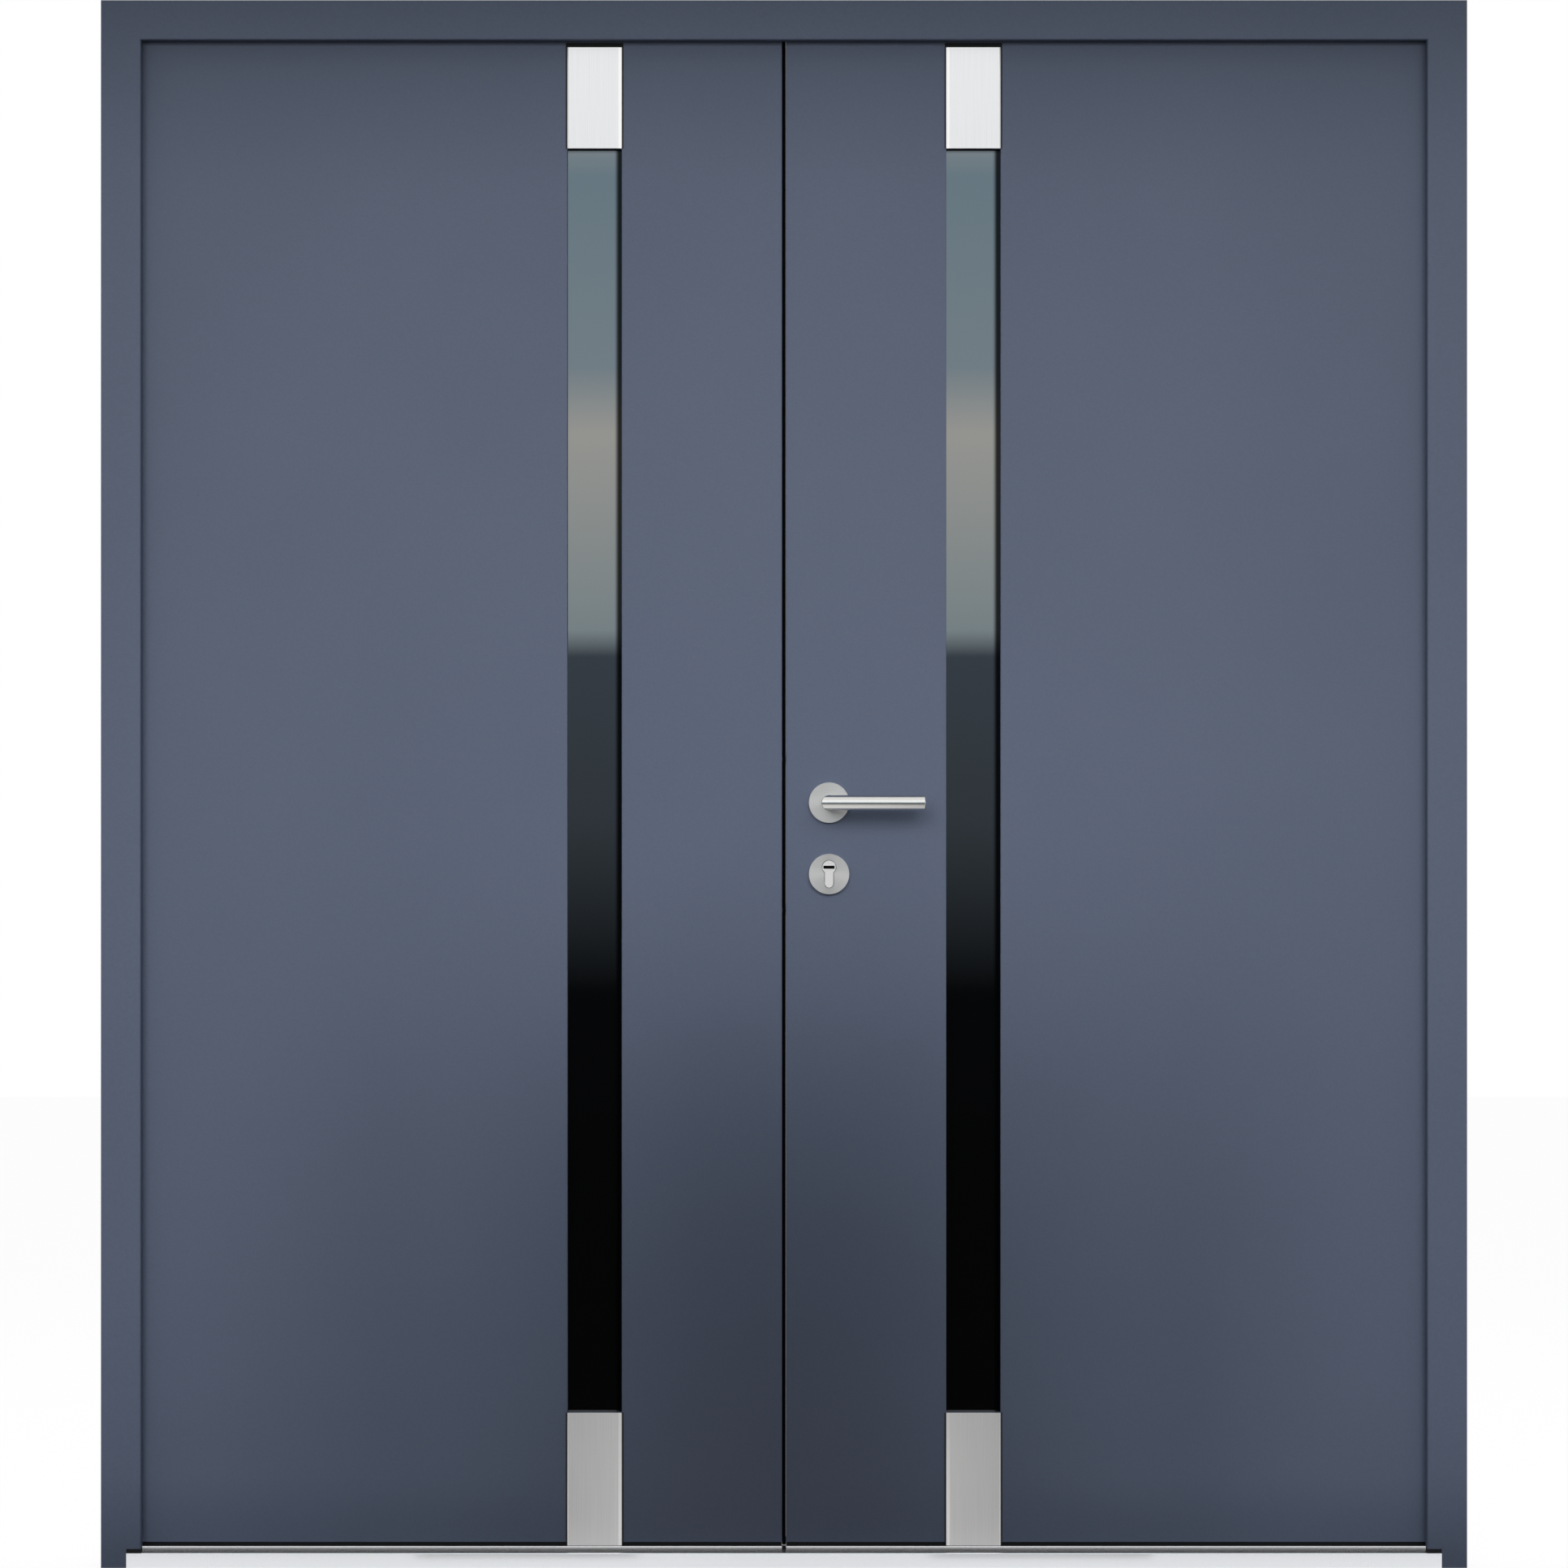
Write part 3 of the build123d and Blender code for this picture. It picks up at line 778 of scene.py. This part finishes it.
@dataclass
class Hinges:
    """Three lift-off hinges of one leaf, with the screws and the end caps of both halves."""

    side: Side
    heights: tuple[float, float, float] = (mm(250), mm(1046), mm(1842))
    axis_across: float = mm(878.5)
    axis_deep: float = mm(47.5)
    half_height: float = mm(60)
    knuckle_radius: float = mm(9)
    knuckle_segments: int = 40
    cap_height: float = mm(3)
    cap_rounding: float = mm(2.4)
    cap_steps: int = 4
    frame_plate_across: float = mm(900)
    leaf_plate_across: float = mm(851.5)
    plate_face: float = mm(40.5)
    screw: Screw = Screw()
    screw_pitch: float = mm(44)

    def build(self, nodes: dict[str, Object], finishes: Finishes) -> None:
        """Dress the hinges, screw their plates on and cap the knuckles.

        Args:
            nodes: the CAD nodes by name.
            finishes: the door's materials.
        """
        word = self.side.word
        dress(finishes.hinge, [nodes[f"{word}_frame_hinges"], nodes[f"{word}_leaf_hinges"]])
        self.add_screws("frame", self.frame_plate_across, "frame", finishes)
        self.add_screws("leaf", self.leaf_plate_across, self.side.leaf, finishes)
        self.add_caps("frame", -1, "frame", finishes)
        self.add_caps("leaf", 1, self.side.leaf, finishes)

    def add_screws(self, half: str, across: float, body: str, finishes: Finishes) -> None:
        """Put three screws in each plate of one half.

        Args:
            half: which half of the hinge.
            across: the screws' distance from the centre line.
            body: the body that carries the plates.
            finishes: the door's materials.
        """
        mesh = bmesh.new()
        for height in self.heights:
            for step in (-1, 0, 1):
                rise = height + step * self.screw_pitch
                self.screw.stamp(mesh, (self.side.value * across, self.plate_face, rise), (0, 1, 0))
        settle(mesh, f"{self.side.word}_{half}_hinge_screws", body, finishes.hinge)

    def add_caps(self, half: str, way: int, body: str, finishes: Finishes) -> None:
        """Close the outer ends of one half's knuckles with rounded caps.

        Args:
            half: which half of the hinge.
            way: 1 for caps on top, -1 for caps underneath.
            body: the body that carries the knuckles.
            finishes: the door's materials.
        """
        mesh = bmesh.new()
        across = self.side.value * self.axis_across
        facing = Matrix.Scale(way, 4, (0, 0, 1))
        for height in self.heights:
            spot = (across, self.axis_deep, height + way * self.half_height)
            place = Matrix.Translation(spot) @ facing
            disc = add_disc(mesh, self.knuckle_radius, self.knuckle_segments, place)
            top = push_face(mesh, disc, (0, 0, way * self.cap_height))
            bmesh.ops.bevel(
                mesh,
                geom=list(top.edges),
                offset=self.cap_rounding,
                affect="EDGES",
                segments=self.cap_steps,
                profile=0.5,
                material=-1,
            )
        settle(mesh, f"{self.side.word}_{half}_hinge_caps", body, finishes.hinge)


@dataclass
class Lock:
    """Faceplate, strike, bolts, roses and the key cylinder."""

    line_across: float = mm(60.5)
    lever_height: float = mm(1025)
    plug_height: float = mm(938.3)
    cylinder_rose_height: float = mm(929.1)
    rose_radius: float = mm(27)
    rose_height: float = mm(8)
    # The rim's section: out from the rose's edge, and up from its face.
    rim_section: tuple[tuple[float, float], ...] = (
        (mm(-1.2), mm(-0.5)),
        (mm(-1.1), mm(0.1)),
        (mm(-0.9), mm(0.1)),
        (mm(0.1), mm(-0.9)),
        (mm(0.1), mm(-2.0)),
        (mm(-0.5), mm(-2.0)),
    )
    rim_steps: int = 96
    # Y of the leaf's and the cylinder's outer and inner faces.
    leaf_faces: tuple[float, float] = (mm(-17.5), mm(37.5))
    cylinder_faces: tuple[float, float] = (mm(-26.5), mm(46.5))
    slot_length: float = mm(15)
    slot_height: float = mm(4.2)
    slot_depth: float = mm(12)
    # Painted shade: black liners in the key slots stand in for the shade deep in the plug.
    shade_liner_play: float = mm(0.1)
    shade_liner_short: float = mm(0.4)
    shade_liner_wall: float = mm(0.25)
    shade_liner_hollow: float = mm(10.2)
    edge_across: float = mm(2.5)
    screw: Screw = Screw(radius=mm(3.6), crown=mm(0.3), rim=mm(0.1))
    screw_deep: float = mm(10)
    screw_heights: tuple[float, float] = (mm(880), mm(1083))

    def build(self, nodes: dict[str, Object], finishes: Finishes) -> None:
        """Dress the lock, screw its edge plates on, line its key slots with painted shade and rim
        its roses.

        Args:
            nodes: the CAD nodes by name.
            finishes: the door's materials.
        """
        looks = (
            (finishes.lock, ("lock_faceplate", "strike_plate", "lock_bolts")),
            (finishes.lever_rose, ("outer_lever_rose", "inner_lever_rose")),
            (finishes.cylinder_rose, ("outer_cylinder_rose", "inner_cylinder_rose")),
            (finishes.cylinder, ("lock_cylinder",)),
        )
        for material, names in looks:
            dress(material, [nodes[name] for name in names])
        self.add_screws("strike", Side.LEFT, finishes)
        self.add_screws("faceplate", Side.RIGHT, finishes)
        self.add_keyway_shades(finishes)
        self.add_rims("lever", self.lever_height, finishes.lever_rose)
        self.add_rims("cylinder", self.cylinder_rose_height, finishes.cylinder_rose)

    def add_screws(self, plate: str, side: Side, finishes: Finishes) -> None:
        """Put two screws in the plate of one meeting edge.

        Args:
            plate: which plate.
            side: the leaf that carries it.
            finishes: the door's materials.
        """
        mesh = bmesh.new()
        for height in self.screw_heights:
            spot = (side.value * self.edge_across, self.screw_deep, height)
            self.screw.stamp(mesh, spot, (-side.value, 0, 0))
        settle(mesh, f"{plate}_screws", side.leaf, finishes.lock)

    def add_rims(self, rose: str, height: float, material: Material) -> None:
        """Turn the fine chamfered rim of both roses of one kind.

        Args:
            rose: which rose.
            height: its centre above the floor.
            material: its finish.
        """
        mesh = bmesh.new()
        edge = self.line_across + self.rose_radius
        for face, out in zip(self.leaf_faces, (-1, 1), strict=True):
            points = [
                (edge + reach, face + out * (self.rose_height + rise), height)
                for reach, rise in self.rim_section
            ]
            verts = [mesh.verts.new(point) for point in points]
            edges = [mesh.edges.new(pair) for pair in zip(verts, verts[1:] + verts[:1])]
            bmesh.ops.spin(
                mesh,
                geom=edges + verts,
                cent=(self.line_across, face, height),
                axis=(0, 1, 0),
                angle=2 * math.pi,
                steps=self.rim_steps,
                use_merge=True,
            )
        settle(mesh, f"{rose}_rose_rims", Side.RIGHT.leaf, material)

    def add_keyway_shades(self, finishes: Finishes) -> None:
        """Line both key slots with open-fronted boxes of black plastic: painted shade for the
        inside of the plug.

        Args:
            finishes: the door's materials.
        """
        mesh = bmesh.new()
        play = self.shade_liner_play
        depth = self.slot_depth - self.shade_liner_short
        size = (self.slot_length - play, depth, self.slot_height - play)
        for face in self.cylinder_faces:
            inward = math.copysign(1.0, -face)
            deep = face + inward * (self.slot_depth / 2 + play)
            centre = Matrix.Translation((self.line_across, deep, self.plug_height))
            place = centre @ Matrix.Diagonal((*size, 1.0))
            box = bmesh.ops.create_cube(mesh, size=1.0, matrix=place)["verts"]
            mouth = min(
                {side for corner in box for side in corner.link_faces},
                key=lambda side: inward * side.calc_center_median().y,
            )
            bmesh.ops.inset_region(mesh, faces=[mouth], thickness=self.shade_liner_wall)
            bmesh.ops.translate(mesh, verts=mouth.verts, vec=(0, inward * self.shade_liner_hollow, 0))
        settle(mesh, "keyway_shade_liners", Side.RIGHT.leaf, finishes.plastic)


@dataclass
class Lever:
    """The pair of levers on their spindle."""

    def build(self, nodes: dict[str, Object], finishes: Finishes) -> None:
        """Dress the levers and the spindle."""
        dress(finishes.handle, [nodes["outer_lever"], nodes["inner_lever"]])
        dress(finishes.lock, [nodes["lever_spindle"]])


@dataclass
class Studio:
    """Camera straight in front, soft lamps, a pale floor and cards that only reflections see."""

    # The camera, in front of the door's foremost face.
    view_distance: float = 6.0
    door_front: float = mm(-37.5)
    door_height: float = mm(2100)
    sensor: float = 36.0
    # The dome's light, and the floor, which glows a little over white and keeps a soft shadow.
    dome: float = 0.62
    floor_reach: float = 9.0
    floor_height: float = mm(-0.5)
    floor_grey: float = 0.9
    floor_glow: float = 1.03
    floor_glow_share: float = 0.88
    # The dark sheet under the floor, which stops its bounce.
    sheet_height: float = mm(-1)
    sheet_tone: str = "#2A2A2A"
    # Dark flags that hold the lamps off the door's lower middle, foot and head.
    flag_distance: float = 1.0
    flag_width: float = 0.82
    flag_height: float = 1.02
    wide_flag_half: float = 1.6
    low_flag_distance: float = 0.55
    low_flag_height: float = 0.23
    high_flag_start: float = 2.32
    high_flag_end: float = 2.9
    # Upright cards behind the camera, with their tones by height above the floor.
    card_distance: float = 8.0
    card_half: float = 3.2
    card_height: float = 7.0
    card_glow: float = 1.5
    card_tones: Tones = (
        (0.4, "#0E0E0F"),
        (0.95, "#566068"),
        (1.45, "#606C78"),
        (1.53, "#CBDDE3"),
        (2.15, "#FFFFF8"),
        (2.35, "#C4D8E4"),
        (2.95, "#B2CEDE"),
        (3.2, "#F4F4F4"),
    )
    side_glow: float = 1.8
    side_tones: Tones = ((0.9, "#101010"), (1.5, "#FFFFFF"))
    # Level cards in front of the door, one layer above the other.
    layer: float = mm(1)
    far_start: float = 0.26
    far_tone: str = "#0C0C0C"
    near_start: float = 0.11
    near_end: float = 1.42
    near_half: float = 0.5
    near_tone: str = "#959595"
    strip_end: float = 3.1
    strip_half: float = 0.2
    strip_tone: str = "#CFCFCF"
    # Lamps, a pair in front and a pair behind.
    lamp_across: float = 1.5
    lamp_distance: float = 4.6
    lamp_height: float = 2.5
    lamp_size: float = 2.8
    lamp_power: float = 12.3
    lamp_spread: float = math.radians(44)
    aim_across: float = 0.62
    aim_height: float = 0.89

    def build(self) -> None:
        """Set up everything that isn't the door."""
        scene = bpy.context.scene
        scene.view_settings.view_transform = "Standard"
        self.add_camera(scene)
        self.add_world(scene)
        self.add_floor()
        self.add_shades()
        self.add_cards()
        for side in Side:
            self.add_lamp(f"{side.word}_front_lamp", side, -self.lamp_distance)
            self.add_lamp(f"{side.word}_rear_lamp", side, self.lamp_distance)

    def add_camera(self, scene: Scene) -> None:
        """Stand the camera so that the frame's front fills the square image from top to bottom.

        Args:
            scene: the scene that takes the camera.
        """
        data = bpy.data.cameras.new("front_camera")
        data.sensor_width = self.sensor
        data.lens = self.sensor * self.view_distance / self.door_height
        camera = bpy.data.objects.new("front_camera", data)
        camera.location = (0, self.door_front - self.view_distance, self.door_height / 2)
        camera.rotation_euler = (math.pi / 2, 0, 0)
        scene.collection.objects.link(camera)
        scene.camera = camera

    def add_world(self, scene: Scene) -> None:
        """White to the eye and to reflections; a soft even dome for the light itself.

        Args:
            scene: the scene that takes the world.
        """
        world = bpy.data.worlds.new("studio_dome")
        world.use_nodes = True
        tree = world.node_tree
        tree.nodes.clear()
        ray = add_node(tree, "ShaderNodeLightPath").outputs
        mirrored = compute(tree, "MAXIMUM", ray["Is Glossy Ray"], ray["Is Transmission Ray"])
        seen = compute(tree, "MAXIMUM", ray["Is Camera Ray"], mirrored)
        dome, white = (
            add_node(tree, "ShaderNodeBackground", {"Color": WHITE, "Strength": strength})
            for strength in (self.dome, 1.0)
        )
        shaders = {0: seen, 1: dome.outputs[0], 2: white.outputs[0]}
        mix = add_node(tree, "ShaderNodeMixShader", shaders)
        add_node(tree, "ShaderNodeOutputWorld", {"Surface": mix.outputs[0]})
        scene.world = world

    def plane(self, name: str, corners: Sequence[Point]) -> Object:
        """Make a flat piece of the stage.

        Args:
            name: its name.
            corners: its four corners.

        Returns:
            The object.
        """
        mesh = bmesh.new()
        mesh.faces.new([mesh.verts.new(corner) for corner in corners])
        piece = link_mesh(mesh, name)
        return piece

    @staticmethod
    def level(half: float, start: float, end: float, height: float) -> list[Point]:
        """Corners of a level sheet between two depths."""
        outline = ((-half, start), (half, start), (half, end), (-half, end))
        return [(x, y, height) for x, y in outline]

    @staticmethod
    def upright(left: float, right: float, deep: float, low: float, high: float) -> list[Point]:
        """Corners of an upright sheet that faces the door."""
        return [(left, deep, low), (right, deep, low), (right, deep, high), (left, deep, high)]

    def add_floor(self) -> None:
        """Lay the pale floor."""
        reach = self.floor_reach
        floor = self.plane("floor", self.level(reach, -reach, reach, self.floor_height))
        floor.visible_diffuse = False
        floor.visible_shadow = False
        material = bare_material("pale_floor")
        tree = material.node_tree
        grey = (self.floor_grey, self.floor_grey, self.floor_grey, 1.0)
        paper = add_node(tree, "ShaderNodeBsdfDiffuse", {"Color": grey}).outputs[0]
        light = {"Color": WHITE, "Strength": self.floor_glow}
        glow = add_node(tree, "ShaderNodeEmission", light).outputs[0]
        shown = add_node(tree, "ShaderNodeMixShader", {0: self.floor_glow_share, 1: paper, 2: glow})
        add_node(tree, "ShaderNodeOutputMaterial", {"Surface": shown.outputs[0]})
        dress(material, [floor])

    def add_shades(self) -> None:
        """Lay the dark sheet under the floor and stand the flags before the lamps."""
        dull = bpy.data.materials.new("dark_sheet")
        dull.use_nodes = True
        shader = dull.node_tree.nodes["Principled BSDF"]
        shader.inputs["Base Color"].default_value = linear(self.sheet_tone)
        reach, half, wide = self.floor_reach, self.flag_width / 2, self.wide_flag_half
        away, low_away = -self.flag_distance, -self.low_flag_distance
        start, end = self.high_flag_start, self.high_flag_end
        sheets = (
            ("shade_sheet", self.level(reach, -reach, reach, self.sheet_height)),
            ("lamp_flag", self.upright(-half, half, away, 0, self.flag_height)),
            ("low_lamp_flag", self.upright(-wide, wide, low_away, 0, self.low_flag_height)),
            ("high_lamp_flag", self.upright(-wide, wide, away, start, end)),
        )
        for name, corners in sheets:
            sheet = self.plane(name, corners)
            sheet.visible_camera = False
            sheet.visible_glossy = False
            dress(dull, [sheet])

    def add_cards(self) -> None:
        """Set the cards that glass and metal reflect: pale above eye level, dark below."""
        half, wide, top = self.card_half, self.floor_reach, self.card_height
        back, near = -self.card_distance, -self.near_start
        standing = (
            ("reflection_card", -half, half, self.card_tones, self.card_glow),
            ("left_side_card", -wide, -half, self.side_tones, self.side_glow),
            ("right_side_card", half, wide, self.side_tones, self.side_glow),
        )
        for name, left, right, tones, glow in standing:
            self.add_card(name, self.upright(left, right, back, 0, top), tones, glow)
        lying = (
            ("far_ground_card", wide, back, -self.far_start, self.far_tone),
            ("near_ground_card", self.near_half, -self.near_end, near, self.near_tone),
            ("ground_strip_card", self.strip_half, -self.strip_end, near, self.strip_tone),
        )
        for count, (name, half_width, start, end, tone) in enumerate(lying, start=1):
            corners = self.level(half_width, start, end, count * self.layer)
            self.add_card(name, corners, ((0.0, tone),), self.card_glow)

    def add_card(self, name: str, corners: Sequence[Point], tones: Tones, glow: float) -> None:
        """Set one card, seen by reflections alone.

        Args:
            name: the card's and its material's name.
            corners: its four corners.
            tones: heights above the floor, in metres, with their colours.
            glow: how brightly it glows.
        """
        card = self.plane(name, corners)
        card.visible_camera = False
        card.visible_diffuse = False
        card.visible_transmission = False
        card.visible_shadow = False
        dress(self.card_material(name, tones, glow), [card])

    def card_material(self, name: str, tones: Tones, glow: float) -> Material:
        """Make a glowing material whose tone changes with height.

        Args:
            name: the material's name.
            tones: heights above the floor, in metres, with their colours.
            glow: how brightly it glows.

        Returns:
            The material.
        """
        material = bare_material(name)
        tree = material.node_tree
        place = add_node(tree, "ShaderNodeTexCoord").outputs["Object"]
        height = add_node(tree, "ShaderNodeSeparateXYZ", {"Vector": place}).outputs["Z"]
        share = compute(tree, "DIVIDE", height, self.card_height)
        ramp = add_node(tree, "ShaderNodeValToRGB", {"Fac": share})
        stops = ramp.color_ramp.elements
        while len(stops) > 1:
            stops.remove(stops[-1])
        for index, (at, colour) in enumerate(tones):
            stop = stops[0] if index == 0 else stops.new(at / self.card_height)
            stop.position = at / self.card_height
            stop.color = linear(colour)
        light = {"Color": ramp.outputs["Color"], "Strength": glow}
        shown = add_node(tree, "ShaderNodeEmission", light)
        add_node(tree, "ShaderNodeOutputMaterial", {"Surface": shown.outputs[0]})
        return material

    def add_lamp(self, name: str, side: Side, deep: float) -> None:
        """Hang a soft square lamp with a honeycomb grid, so that its pool fades to the edges.

        Args:
            name: its name.
            side: the leaf that it faces.
            deep: its place along Y.
        """
        data = bpy.data.lights.new(name, "AREA")
        data.size = self.lamp_size
        data.spread = self.lamp_spread
        data.energy = self.lamp_power
        spot = Vector((side.value * self.lamp_across, deep, self.lamp_height))
        aim = Vector((side.value * self.aim_across, 0, self.aim_height))
        lamp = bpy.data.objects.new(name, data)
        lamp.location = spot
        lamp.rotation_euler = (aim - spot).to_track_quat("-Z", "Y").to_euler()
        lamp.visible_camera = False
        lamp.visible_glossy = False
        bpy.context.scene.collection.objects.link(lamp)


def main() -> None:
    """Load the solids, dress them, add the fixings and set the studio round them."""
    logging.basicConfig(level=logging.INFO, format="%(name)s %(message)s")
    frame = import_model()
    nodes = frame["nodes"]
    finishes = Finishes.make()
    DoorFrame().build(nodes, finishes)
    for side in Side:
        Leaf(side).build(nodes, finishes)
        Hinges(side).build(nodes, finishes)
    MeetingSeal().build(finishes)
    Lock().build(nodes, finishes)
    Lever().build(nodes, finishes)
    Studio().build()


if __name__ == "__main__":
    main()
